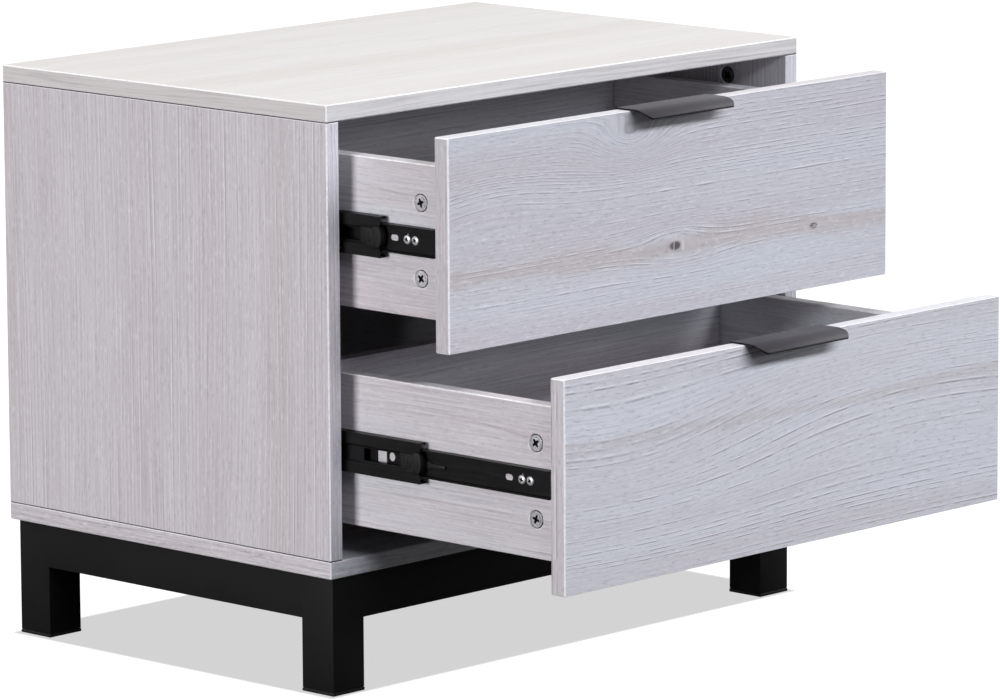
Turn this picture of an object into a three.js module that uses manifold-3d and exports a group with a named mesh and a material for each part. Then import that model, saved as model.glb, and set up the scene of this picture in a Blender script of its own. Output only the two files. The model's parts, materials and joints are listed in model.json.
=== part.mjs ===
// Two-drawer nightstand: a flat-pack laminated carcass on a square-tube steel base, with two inset
// drawers on three-section ball-bearing slides. Millimetres, +Z up, +Y to the back, front towards -Y.
// The stored pose has both drawers pulled part of the way out. The origin is on the floor, at the
// centre of the footprint in that pose.
import * as THREE from 'three';
import { mergeVertices } from 'three/addons/utils/BufferGeometryUtils.js';
import Module from 'manifold-3d';

const wasm = await Module();
wasm.setup();

// ---------------------------------------------------------------- driving dimensions
const GAP = 0.3;                  // running clearance between touching pieces

const CARCASS = { width: 600, depth: 400, board: 15, bottom: 103, inner_height: 375 };
const BACK = { thickness: 5, groove: 6, from_rear: 10 };
const BASE = { tube: 37, wall: 1.5, apron_height: 39, inset_x: 7, inset_y: 5 };
const FOOT = { height: 3, proud: 0.5, plug: 12 };

const FRONT = { width: 561, height: 181.5, thickness: 16 };
const DRAWER_BOX = { rise: 26, height: 130, length: 305, board: 15 };
const DRAWER_BOTTOM = { thickness: 5, rise: 10, groove: 7 };
const DRAWERS = {
  upper: { front_bottom: 307.5, open: 122, middle_out: 43.5 },
  lower: { front_bottom: 120.5, open: 252, middle_out: 88 },
};

// Slide sections are laid out from the carcass side (0) towards the drawer side (space).
const SLIDE = { space: 12.7, length: 300, steel: 1.2, setback: 2.5 };
const CABINET_MEMBER = { height: 45, web: GAP, flange: 9.5, lip: 2.5 };
const MIDDLE_MEMBER = { height: 35, web: 3, flange: 11, lip: 2.3, length: 280 };
const MIDDLE_RECESS = { height: 15, depth: 1.5 };
const FORK = { depth: 8, height: 19 };
const MIDDLE_WINDOW = { from_front: 25, length: 41.5, height: 10.5 };
const DRAWER_MEMBER = { height: 24, flange: 5.2 };
// Punched holes of the drawer member, by their distance behind the rear face of the drawer front.
const ROUND_HOLES = [
  { distance: 28.6, radius: 3.4 },
  { distance: 38, radius: 3.3 },
  { distance: 188.5, radius: 4 },
  { distance: 240, radius: 3.4 },
];
const SLOT = { distance: 53.4, radius: 2.6, length: 9.8 };
const KEYHOLE_NOTCH = { distance: 38, radius: 1.6, rise: 3.6 };
const SQUARE_HOLE = { distance: 200, length: 11.5, height: 13 };

const CAM = { radius: 7.5, depth: 12, from_end: 24, spacing: 64 };
const CARCASS_CAM_SETBACK = 71;

const HANDLE = { half_length: 57, sheet: 1.3, flange: 17, reach: 22, flat: 5, bend_radius: 24 };
const HANDLE_CORNER = 9;
const HANDLE_SCREW = { head: 3.5, head_height: 1.8, shank: 1.75, length: 11, spacing: 80, drop: 10 };

// ---------------------------------------------------------------- derived dimensions
const CARCASS_TOP = CARCASS.bottom + 2 * CARCASS.board + CARCASS.inner_height;
const FLOOR_OF_INSIDE = CARCASS.bottom + CARCASS.board;
const CEILING_OF_INSIDE = CARCASS_TOP - CARCASS.board;
const INNER_X = CARCASS.width / 2 - CARCASS.board;
const HANDLE_BEND = Math.asin((HANDLE.reach - HANDLE.flat) / (HANDLE.bend_radius + HANDLE.sheet / 2));
const REST_REACH = DRAWERS.lower.open + HANDLE.reach;
const CARCASS_FRONT = (REST_REACH - CARCASS.depth) / 2;
const CARCASS_REAR = CARCASS_FRONT + CARCASS.depth;
const BOX_OUTER_X = INNER_X - SLIDE.space;
const BOX_INNER_X = BOX_OUTER_X - DRAWER_BOX.board;
const BOX_BACK_Y = FRONT.thickness + DRAWER_BOX.length - DRAWER_BOX.board;
const SLIDE_Z = DRAWER_BOX.rise + DRAWER_BOX.height / 2;
const GROOVE_Z = DRAWER_BOX.rise + DRAWER_BOTTOM.rise;

// ---------------------------------------------------------------- finishes
const FINISHES = {
  laminate: { color: 0xc9c6cc, roughness: 0.55, metalness: 0 },
  backing: { color: 0xcfccca, roughness: 0.7, metalness: 0 },
  base_black: { color: 0x1b1b1d, roughness: 0.6, metalness: 0.2 },
  foot_black: { color: 0x141414, roughness: 0.8, metalness: 0 },
  slide_black: { color: 0x17171a, roughness: 0.4, metalness: 0.5 },
  zinc: { color: 0xb4b4b6, roughness: 0.35, metalness: 0.9 },
  dark_zinc: { color: 0x3a3a3e, roughness: 0.45, metalness: 0.7 },
  handle_grey: { color: 0x3c3b40, roughness: 0.5, metalness: 0.3 },
};

// ---------------------------------------------------------------- modelling helpers
const LEFT = -1;
const RIGHT = 1;
const SIDES = { left: LEFT, right: RIGHT };
const ROUND_SEGMENTS = 24;

function toSolid(geometry) {
  const bare = geometry.clone();
  bare.deleteAttribute('normal');
  bare.deleteAttribute('uv');
  const merged = mergeVertices(bare);
  const vertProperties = new Float32Array(merged.attributes.position.array);
  const triVerts = new Uint32Array(merged.index.array);
  return new wasm.Manifold(new wasm.Mesh({ numProp: 3, vertProperties, triVerts }));
}

function toGeometry(solid) {
  const mesh = solid.getMesh();
  const geometry = new THREE.BufferGeometry();
  geometry.setAttribute('position', new THREE.BufferAttribute(mesh.vertProperties, 3));
  geometry.setIndex(new THREE.BufferAttribute(mesh.triVerts, 1));
  return geometry;
}

function cut(geometry, ...tools) {
  return toGeometry(tools.reduce((solid, tool) => solid.subtract(toSolid(tool)), toSolid(geometry)));
}

function join(geometry, other) {
  return toGeometry(toSolid(geometry).add(toSolid(other)));
}

function intersect(geometry, other) {
  return toGeometry(toSolid(geometry).intersect(toSolid(other)));
}

// A box between two values on each axis.
function block([x0, x1], [y0, y1], [z0, z1]) {
  const geometry = new THREE.BoxGeometry(Math.abs(x1 - x0), Math.abs(y1 - y0), Math.abs(z1 - z0));
  return geometry.translate((x0 + x1) / 2, (y0 + y1) / 2, (z0 + z1) / 2);
}

// A cylinder along X, from x0 to x1.
function roundAlongX(radius, x0, x1, y, z) {
  const geometry = new THREE.CylinderGeometry(radius, radius, Math.abs(x1 - x0), ROUND_SEGMENTS);
  return geometry.rotateZ(Math.PI / 2).translate((x0 + x1) / 2, y, z);
}

// A cylinder along Y, from y0 to y1.
function roundAlongY(radius, y0, y1, x, z) {
  const geometry = new THREE.CylinderGeometry(radius, radius, Math.abs(y1 - y0), ROUND_SEGMENTS);
  return geometry.translate(x, (y0 + y1) / 2, z);
}

// Extrudes an outline of (x, z) points from y0 to y1.
function extrudeAlongY(outline, y0, y1) {
  const shape = new THREE.Shape(outline.map(([x, z]) => new THREE.Vector2(x, z)));
  const geometry = new THREE.ExtrudeGeometry(shape, { depth: y1 - y0, bevelEnabled: false });
  return geometry.rotateX(Math.PI / 2).translate(0, y1, 0);
}

// Extrudes an outline of (y, z) points from x0 to x1.
function extrudeAlongX(outline, x0, x1) {
  const shape = new THREE.Shape(outline.map(([y, z]) => new THREE.Vector2(y, z)));
  const geometry = new THREE.ExtrudeGeometry(shape, { depth: x1 - x0, bevelEnabled: false });
  return geometry.rotateX(Math.PI / 2).rotateZ(Math.PI / 2).translate(x0, 0, 0);
}

function addPiece(parent, name, geometry, finish, [x, y, z] = [0, 0, 0]) {
  const mesh = new THREE.Mesh(geometry, new THREE.MeshStandardMaterial(FINISHES[finish]));
  mesh.name = name;
  mesh.position.set(x, y, z);
  parent.add(mesh);
}

// ---------------------------------------------------------------- carcass
function backGroove() {
  const y = CARCASS_REAR - BACK.from_rear - BACK.thickness;
  const reach = INNER_X + BACK.groove;
  return block(
    [-reach, reach],
    [y - GAP, y + BACK.thickness + GAP],
    [FLOOR_OF_INSIDE - BACK.groove, CEILING_OF_INSIDE + BACK.groove],
  );
}

function horizontalBoard(bottom) {
  const half = CARCASS.width / 2;
  const board = block([-half, half], [CARCASS_FRONT, CARCASS_REAR], [bottom, bottom + CARCASS.board]);
  return cut(board, backGroove());
}

function carcassCams() {
  const z = CEILING_OF_INSIDE - CAM.from_end;
  return {
    front: { y: CARCASS_FRONT + CARCASS_CAM_SETBACK, z },
    rear: { y: CARCASS_REAR - CARCASS_CAM_SETBACK, z },
  };
}

function sidePanel(side) {
  const outer = side * CARCASS.width / 2;
  const inner = side * INNER_X;
  const board = block(
    [inner, outer],
    [CARCASS_FRONT, CARCASS_REAR],
    [FLOOR_OF_INSIDE + GAP, CEILING_OF_INSIDE - GAP],
  );
  const bores = Object.values(carcassCams()).map(({ y, z }) =>
    roundAlongX(CAM.radius + GAP, inner - side, inner + side * (CAM.depth + GAP), y, z));
  return cut(board, backGroove(), ...bores);
}

function backPanel() {
  const y = CARCASS_REAR - BACK.from_rear - BACK.thickness;
  const reach = INNER_X + BACK.groove - GAP;
  return block(
    [-reach, reach],
    [y, y + BACK.thickness],
    [FLOOR_OF_INSIDE - BACK.groove + GAP, CEILING_OF_INSIDE + BACK.groove - GAP],
  );
}

function buildCarcass(parent) {
  addPiece(parent, 'top_panel', horizontalBoard(CEILING_OF_INSIDE), 'laminate');
  addPiece(parent, 'bottom_panel', horizontalBoard(CARCASS.bottom), 'laminate');
  addPiece(parent, 'back_panel', backPanel(), 'backing');
  for (const [name, side] of Object.entries(SIDES)) {
    addPiece(parent, `${name}_side_panel`, sidePanel(side), 'laminate');
    for (const [place, { y, z }] of Object.entries(carcassCams())) {
      const cam = roundAlongX(CAM.radius, side * INNER_X, side * (INNER_X + CAM.depth), y, z);
      addPiece(parent, `carcass_cam_${name}_${place}`, cam, 'dark_zinc');
    }
  }
}

// ---------------------------------------------------------------- steel base
// A square tube standing on its lower end, centred on the origin.
function uprightTube(size, height) {
  const outline = new THREE.Shape();
  const half = size / 2;
  outline.moveTo(-half, -half).lineTo(half, -half).lineTo(half, half).lineTo(-half, half);
  const bore = new THREE.Path();
  const inside = half - BASE.wall;
  bore.moveTo(-inside, -inside).lineTo(-inside, inside).lineTo(inside, inside).lineTo(inside, -inside);
  outline.holes.push(bore);
  return new THREE.ExtrudeGeometry(outline, { depth: height, bevelEnabled: false });
}

// A rectangular tube lying along X between two legs, with its top at z = 0.
function apronTube(length) {
  const outer = block([-length / 2, length / 2], [-BASE.tube / 2, BASE.tube / 2], [-BASE.apron_height, 0]);
  const bore = block(
    [-length, length],
    [-BASE.tube / 2 + BASE.wall, BASE.tube / 2 - BASE.wall],
    [-BASE.apron_height + BASE.wall, -BASE.wall],
  );
  return cut(outer, bore);
}

function footCap() {
  const half = BASE.tube / 2 + FOOT.proud;
  const plug = BASE.tube / 2 - BASE.wall - GAP;
  const pad = block([-half, half], [-half, half], [0, FOOT.height]);
  return join(pad, block([-plug, plug], [-plug, plug], [FOOT.height / 2, FOOT.height + FOOT.plug]));
}

function buildBase(parent) {
  const x = CARCASS.width / 2 - BASE.inset_x - BASE.tube / 2;
  const front = CARCASS_FRONT + BASE.inset_y + BASE.tube / 2;
  const back = CARCASS_REAR - BASE.inset_y - BASE.tube / 2;
  const top = CARCASS.bottom - GAP;
  const legBottom = FOOT.height + GAP;
  for (const [end, y] of Object.entries({ front, back })) {
    for (const [name, side] of Object.entries(SIDES)) {
      const leg = uprightTube(BASE.tube, top - legBottom);
      addPiece(parent, `leg_${end}_${name}`, leg, 'base_black', [side * x, y, legBottom]);
      addPiece(parent, `foot_cap_${end}_${name}`, footCap(), 'foot_black', [side * x, y, 0]);
    }
    const rail = apronTube(2 * x - BASE.tube - 2 * GAP);
    addPiece(parent, `apron_${end}`, rail, 'base_black', [0, y, top]);
  }
  for (const [name, side] of Object.entries(SIDES)) {
    const rail = apronTube(back - front - BASE.tube - 2 * GAP).rotateZ(Math.PI / 2);
    addPiece(parent, `apron_${name}`, rail, 'base_black', [side * x, (front + back) / 2, top]);
  }
}

// ---------------------------------------------------------------- slides
// A channel section with its web at "web" and its flanges reaching to "flange", both measured from the
// carcass side. Lips turn back along the flange ends when "lip" is given, and the middle of the web is
// pressed in when "recess" is given.
function channel(side, { web, flange, height, lip = 0, recess }) {
  const t = SLIDE.steel;
  const reach = Math.sign(flange - web);
  const h = height / 2;
  const lipPoints = lip === 0 ? [[flange, h - t]] : [
    [flange, h - lip],
    [flange - reach * t, h - lip],
    [flange - reach * t, h - t],
  ];
  const upper = [[web, h], [flange, h], ...lipPoints, [web + reach * t, h - t]];
  if (recess) {
    const step = recess.height / 2;
    const pressed = web + reach * recess.depth;
    upper.push([web + reach * t, step], [pressed + reach * t, step - t]);
    upper.unshift([pressed, step - t], [web, step]);
  }
  const lower = upper.map(([s, z]) => [s, -z]).reverse();
  return [...upper, ...lower].map(([s, z]) => [side * (INNER_X - s), z]);
}

function cabinetMember(side) {
  return extrudeAlongY(channel(side, CABINET_MEMBER), 0, SLIDE.length);
}

// The middle member's web stops short of its flanges, which leaves a fork at the front end.
function middleMember(side) {
  const { length, web } = MIDDLE_MEMBER;
  const section = channel(side, { ...MIDDLE_MEMBER, recess: MIDDLE_RECESS });
  const webX = [side * (INNER_X - web + 1), side * (INNER_X - web - MIDDLE_RECESS.depth - 2)];
  const notch = block(webX, [-1, FORK.depth], [-FORK.height / 2, FORK.height / 2]);
  const windowY = [MIDDLE_WINDOW.from_front, MIDDLE_WINDOW.from_front + MIDDLE_WINDOW.length];
  const opening = block(webX, windowY, [-MIDDLE_WINDOW.height / 2, MIDDLE_WINDOW.height / 2]);
  return cut(extrudeAlongY(section, 0, length), notch, opening);
}

function drawerMember(side) {
  const web = SLIDE.space - GAP;
  const member = extrudeAlongY(channel(side, { ...DRAWER_MEMBER, web }), 0, SLIDE.length);
  const x0 = side * (INNER_X - web + SLIDE.steel + 1);
  const x1 = side * (INNER_X - web - 1);
  const round = (distance, radius, z = 0) => roundAlongX(radius, x0, x1, distance - SLIDE.setback, z);
  const bar = (distance, length, height) => {
    const y = distance - SLIDE.setback;
    return block([x0, x1], [y - length / 2, y + length / 2], [-height / 2, height / 2]);
  };
  const straight = SLOT.length - 2 * SLOT.radius;
  return cut(
    member,
    ...ROUND_HOLES.map(({ distance, radius }) => round(distance, radius)),
    round(KEYHOLE_NOTCH.distance, KEYHOLE_NOTCH.radius, KEYHOLE_NOTCH.rise),
    round(SLOT.distance - straight / 2, SLOT.radius),
    round(SLOT.distance + straight / 2, SLOT.radius),
    bar(SLOT.distance, straight, 2 * SLOT.radius),
    bar(SQUARE_HOLE.distance, SQUARE_HOLE.length, SQUARE_HOLE.height),
  );
}

// ---------------------------------------------------------------- handle
// The outline of a bent sheet: a centre line thickened by half the sheet on each side.
function sheetOutline(path, thickness) {
  const offset = (sign) => path.map((point, i) => {
    const before = path[Math.max(i - 1, 0)];
    const after = path[Math.min(i + 1, path.length - 1)];
    const incoming = point.clone().sub(before).normalize();
    const outgoing = after.clone().sub(point).normalize();
    const along = incoming.clone().add(outgoing).normalize();
    const isEnd = i === 0 || i === path.length - 1;
    const miter = thickness / 2 / (isEnd ? 1 : Math.sqrt((1 + incoming.dot(outgoing)) / 2));
    return [point.x - sign * along.y * miter, point.y + sign * along.x * miter];
  });
  return [...offset(1), ...offset(-1).reverse()];
}

// A flange screwed behind the drawer front, a plate over its top edge and a lip that curls down in front.
function handleProfile() {
  const { sheet, flange, flat, bend_radius: radius } = HANDLE;
  const top = FRONT.height + GAP + sheet / 2;
  const back = FRONT.thickness + GAP + sheet / 2;
  const path = [new THREE.Vector2(back, top - flange), new THREE.Vector2(back, top)];
  const steps = 8;
  for (let i = 0; i <= steps; i += 1) {
    const angle = HANDLE_BEND * i / steps;
    path.push(new THREE.Vector2(-flat - radius * Math.sin(angle), top - radius * (1 - Math.cos(angle))));
  }
  return sheetOutline(path, sheet);
}

// The handle's plan: square at the back, with rounded front corners.
function handlePlan() {
  const { half_length: half } = HANDLE;
  const front = -HANDLE.reach;
  const back = FRONT.thickness + 2 * HANDLE.sheet;
  const r = HANDLE_CORNER;
  const plan = new THREE.Shape();
  plan.moveTo(-half, back);
  plan.lineTo(-half, front + r);
  plan.absarc(-half + r, front + r, r, Math.PI, Math.PI * 1.5, false);
  plan.absarc(half - r, front + r, r, Math.PI * 1.5, Math.PI * 2, false);
  plan.lineTo(half, back);
  const depth = FRONT.height;
  const geometry = new THREE.ExtrudeGeometry(plan, { depth, bevelEnabled: false, curveSegments: 8 });
  return geometry.translate(0, 0, FRONT.height / 2);
}

function handleScrewPlaces() {
  const z = FRONT.height - HANDLE_SCREW.drop;
  return Object.fromEntries(Object.entries(SIDES).map(([name, side]) =>
    [name, { x: side * HANDLE_SCREW.spacing / 2, z }]));
}

function handle() {
  const half = HANDLE.half_length;
  const strip = intersect(extrudeAlongX(handleProfile(), -half - 1, half + 1), handlePlan());
  const y = FRONT.thickness;
  const holes = Object.values(handleScrewPlaces()).map(({ x, z }) =>
    roundAlongY(HANDLE_SCREW.shank + GAP, y, y + 2 * HANDLE.sheet, x, z));
  return cut(strip, ...holes);
}

// A pan-head screw pointing along -Y, with the underside of its head at y = 0.
function handleScrew() {
  const { head, head_height: headHeight, shank, length } = HANDLE_SCREW;
  const profile = [[0, headHeight], [head * 0.7, headHeight], [head, headHeight / 2], [head, 0],
    [shank, 0], [shank, -length + shank], [0, -length]];
  const points = profile.map(([radius, y]) => new THREE.Vector2(radius, y)).reverse();
  return new THREE.LatheGeometry(points, ROUND_SEGMENTS);
}

// ---------------------------------------------------------------- drawers
// Drawer pieces are placed from the bottom of the front's outer face, with +Y towards the drawer back.
function bottomGroove() {
  const reach = BOX_INNER_X + DRAWER_BOTTOM.groove;
  return block(
    [-reach, reach],
    [FRONT.thickness - DRAWER_BOTTOM.groove, BOX_BACK_Y + DRAWER_BOTTOM.groove],
    [GROOVE_Z, GROOVE_Z + DRAWER_BOTTOM.thickness + 2 * GAP],
  );
}

function drawerFront() {
  const half = FRONT.width / 2;
  const board = block([-half, half], [0, FRONT.thickness], [0, FRONT.height]);
  const depth = HANDLE_SCREW.length + GAP;
  const pilots = Object.values(handleScrewPlaces()).map(({ x, z }) =>
    roundAlongY(HANDLE_SCREW.shank + GAP, FRONT.thickness - depth, FRONT.thickness + 1, x, z));
  return cut(board, bottomGroove(), ...pilots);
}

function drawerCams() {
  const y = FRONT.thickness + CAM.from_end;
  return {
    top: { y, z: SLIDE_Z + CAM.spacing / 2 },
    bottom: { y, z: SLIDE_Z - CAM.spacing / 2 },
  };
}

function drawerSide(side) {
  const outer = side * BOX_OUTER_X;
  const board = block(
    [side * BOX_INNER_X, outer],
    [FRONT.thickness + GAP, FRONT.thickness + DRAWER_BOX.length],
    [DRAWER_BOX.rise, DRAWER_BOX.rise + DRAWER_BOX.height],
  );
  const bores = Object.values(drawerCams()).map(({ y, z }) =>
    roundAlongX(CAM.radius + GAP, outer + side, outer - side * (CAM.depth + GAP), y, z));
  return cut(board, bottomGroove(), ...bores);
}

function drawerBack() {
  const half = BOX_INNER_X - GAP;
  const board = block(
    [-half, half],
    [BOX_BACK_Y, BOX_BACK_Y + DRAWER_BOX.board],
    [DRAWER_BOX.rise, DRAWER_BOX.rise + DRAWER_BOX.height],
  );
  return cut(board, bottomGroove());
}

function drawerBottom() {
  const reach = BOX_INNER_X + DRAWER_BOTTOM.groove - GAP;
  return block(
    [-reach, reach],
    [FRONT.thickness - DRAWER_BOTTOM.groove + GAP, BOX_BACK_Y + DRAWER_BOTTOM.groove - GAP],
    [GROOVE_Z + GAP, GROOVE_Z + GAP + DRAWER_BOTTOM.thickness],
  );
}

function buildDrawer(parent, name) {
  addPiece(parent, `${name}_drawer_front`, drawerFront(), 'laminate');
  addPiece(parent, `${name}_drawer_back`, drawerBack(), 'laminate');
  addPiece(parent, `${name}_drawer_bottom`, drawerBottom(), 'backing');
  addPiece(parent, `${name}_drawer_handle`, handle(), 'handle_grey');
  const screwY = FRONT.thickness + HANDLE.sheet + 2 * GAP;
  for (const [sideName, { x, z }] of Object.entries(handleScrewPlaces())) {
    addPiece(parent, `${name}_handle_screw_${sideName}`, handleScrew(), 'zinc', [x, screwY, z]);
  }
  for (const [sideName, side] of Object.entries(SIDES)) {
    addPiece(parent, `${name}_drawer_${sideName}_side`, drawerSide(side), 'laminate');
    const memberPlace = [0, FRONT.thickness + SLIDE.setback, SLIDE_Z];
    addPiece(parent, `${name}_${sideName}_drawer_member`, drawerMember(side), 'slide_black', memberPlace);
    for (const [place, { y, z }] of Object.entries(drawerCams())) {
      const cam = roundAlongX(CAM.radius, side * BOX_OUTER_X, side * (BOX_OUTER_X - CAM.depth), y, z);
      addPiece(parent, `${name}_drawer_cam_${sideName}_${place}`, cam, 'zinc');
    }
  }
}

// ---------------------------------------------------------------- assembly
const group = new THREE.Group();
buildCarcass(group);
buildBase(group);

for (const [name, { front_bottom: frontBottom, open, middle_out: middleOut }] of Object.entries(DRAWERS)) {
  const slideZ = frontBottom + SLIDE_Z;
  const cabinetY = CARCASS_FRONT + FRONT.thickness + SLIDE.setback;
  for (const [sideName, side] of Object.entries(SIDES)) {
    addPiece(group, `${name}_${sideName}_cabinet_member`, cabinetMember(side), 'slide_black',
      [0, cabinetY, slideZ]);
    addPiece(group, `${name}_${sideName}_middle_member`, middleMember(side), 'slide_black',
      [0, CARCASS_FRONT - middleOut, slideZ]);
  }
  const drawer = new THREE.Group();
  drawer.position.set(0, CARCASS_FRONT - open, frontBottom);
  buildDrawer(drawer, name);
  group.add(drawer);
}

export default group;
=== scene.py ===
# Two-drawer nightstand, drawers partly open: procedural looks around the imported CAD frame. Metres.
import json
import math

import bmesh
import bpy
from mathutils import Matrix, Vector


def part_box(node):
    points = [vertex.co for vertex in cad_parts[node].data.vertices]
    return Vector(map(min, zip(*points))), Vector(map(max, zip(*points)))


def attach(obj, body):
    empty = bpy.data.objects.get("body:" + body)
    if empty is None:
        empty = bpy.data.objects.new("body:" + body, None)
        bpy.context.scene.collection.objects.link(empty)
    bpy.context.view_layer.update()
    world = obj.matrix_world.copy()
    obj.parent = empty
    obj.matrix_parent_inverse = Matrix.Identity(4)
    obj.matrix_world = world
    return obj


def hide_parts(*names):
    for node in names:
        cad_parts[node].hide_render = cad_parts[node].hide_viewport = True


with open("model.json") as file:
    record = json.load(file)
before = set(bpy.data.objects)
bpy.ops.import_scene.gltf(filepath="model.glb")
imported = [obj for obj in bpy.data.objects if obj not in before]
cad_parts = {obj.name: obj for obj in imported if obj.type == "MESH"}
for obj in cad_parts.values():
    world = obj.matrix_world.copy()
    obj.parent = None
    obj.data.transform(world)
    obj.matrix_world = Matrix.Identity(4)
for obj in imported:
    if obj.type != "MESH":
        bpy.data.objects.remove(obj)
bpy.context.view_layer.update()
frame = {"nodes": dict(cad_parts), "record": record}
NODES = frame["nodes"]
BODIES = frame["record"]["behaviour"]["bodies"]
scene = bpy.context.scene
MM = 0.001
X_AXIS, Y_AXIS, Z_AXIS = range(3)
SIDES = {"left": -1, "right": 1}
DRAWERS = ("upper", "lower")
WELD_REACH = 0.01 * MM


# ---------------------------------------------------------------- small helpers
def node_body(node):
    return next(body for body, members in BODIES.items() if node in members)


def middle(node):
    low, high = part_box(node)
    return (low + high) / 2


def link(name, mesh):
    piece = bpy.data.objects.new(name, mesh)
    scene.collection.objects.link(piece)
    return piece


def finish_mesh(bm, name):
    bmesh.ops.recalc_face_normals(bm, faces=bm.faces)
    mesh = bpy.data.meshes.new(name)
    bm.to_mesh(mesh)
    bm.free()
    return link(name, mesh)


def add_box(bm, low, high):
    """Adds a box between two corners, and returns its vertices."""
    made = bmesh.ops.create_cube(bm, size=1.0)["verts"]
    low, high = Vector(low), Vector(high)
    for v in made:
        v.co = Vector(low[i] if v.co[i] < 0 else high[i] for i in range(3))
    return made


def add_prism(bm, outline, axis, start, end):
    """Adds a closed outline extruded along an axis. Its points hold the other two coordinates."""
    others = [i for i in range(3) if i != axis]
    rings = []
    for place in (start, end):
        ring = []
        for point in outline:
            co = Vector((0, 0, 0))
            co[axis] = place
            co[others[0]], co[others[1]] = point
            ring.append(bm.verts.new(co))
        rings.append(ring)
    count = len(outline)
    for i in range(count):
        j = (i + 1) % count
        bm.faces.new((rings[0][i], rings[0][j], rings[1][j], rings[1][i]))
    bm.faces.new(rings[0])
    bm.faces.new(rings[1])


def add_lathe(bm, profile, segments=40):
    """Adds (radius, height) points, from the axis back to the axis, turned about +Z."""
    rings = []
    for radius, height in profile:
        if radius == 0:
            rings.append([bm.verts.new((0, 0, height))])
            continue
        ring = []
        for i in range(segments):
            angle = 2 * math.pi * i / segments
            ring.append(bm.verts.new((radius * math.cos(angle), radius * math.sin(angle), height)))
        rings.append(ring)
    for a, b in zip(rings, rings[1:]):
        for i in range(segments):
            j = (i + 1) % segments
            corners = [a[i % len(a)], a[j % len(a)], b[j % len(b)], b[i % len(b)]]
            unique = list(dict.fromkeys(corners))
            if len(unique) > 2:
                bm.faces.new(unique)


def arc(centre_u, centre_v, radius, start, end, steps):
    """Points along a circular arc between two angles in degrees, both ends included."""
    angles = [math.radians(start + (end - start) * i / steps) for i in range(steps + 1)]
    return [Vector((centre_u + radius * math.cos(a), centre_v + radius * math.sin(a))) for a in angles]


def boolean(piece, other, operation):
    """Applies a boolean with another piece, which is used up."""
    modifier = piece.modifiers.new("cut", "BOOLEAN")
    modifier.operation = operation
    modifier.object = other
    modifier.solver = "EXACT"
    modifier.material_mode = "TRANSFER"
    apply_modifiers(piece)
    bpy.data.objects.remove(other)


def apply_modifiers(piece):
    bpy.context.view_layer.update()
    graph = bpy.context.evaluated_depsgraph_get()
    mesh = bpy.data.meshes.new_from_object(piece.evaluated_get(graph))
    piece.modifiers.clear()
    piece.data = mesh


def round_edges(piece, width, segments=2, angle=35, material=-1):
    """Bevels the edges sharper than an angle in degrees, in one of the piece's materials if asked."""
    modifier = piece.modifiers.new("edges", "BEVEL")
    modifier.width = width
    modifier.segments = segments
    modifier.limit_method = "ANGLE"
    modifier.angle_limit = math.radians(angle)
    modifier.material = material
    modifier.use_clamp_overlap = True


def smooth(piece, angle):
    """Smooth shading that breaks at edges sharper than the angle."""
    bm = bmesh.new()
    bm.from_mesh(piece.data)
    limit = math.radians(angle)
    for face in bm.faces:
        face.smooth = True
    for edge in bm.edges:
        edge.smooth = len(edge.link_faces) != 2 or edge.calc_face_angle(0) < limit
    bm.to_mesh(piece.data)
    bm.free()


def finish_edges(piece, width, bevel_angle, smooth_angle, segments=2):
    """Rounds the edges of a finished shape for good, and smooths its shading."""
    round_edges(piece, width, segments, bevel_angle)
    apply_modifiers(piece)
    smooth(piece, smooth_angle)


def settle(piece, body, replaced=()):
    """Gives a finished piece its body, and hides the CAD nodes that it stands for."""
    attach(piece, body)
    if replaced:
        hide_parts(*replaced)


def paint(piece, material, where=None):
    """Gives all of a piece's faces a material, or only those that pass the test."""
    piece.data.materials.append(material)
    index = len(piece.data.materials) - 1
    for face in piece.data.polygons:
        if where is None or where(face):
            face.material_index = index


def refinish(node, *materials):
    """Keeps a CAD node and gives it materials of its own."""
    piece = NODES[node]
    piece.data.materials.clear()
    for material in materials:
        piece.data.materials.append(material)
    return piece


def trim_edges(piece, width, **bevel):
    """Trims a CAD node's edges with modifiers alone, so that its mesh stays as it is."""
    weld = piece.modifiers.new("weld", "WELD")
    weld.merge_threshold = WELD_REACH
    round_edges(piece, width, **bevel)


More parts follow.
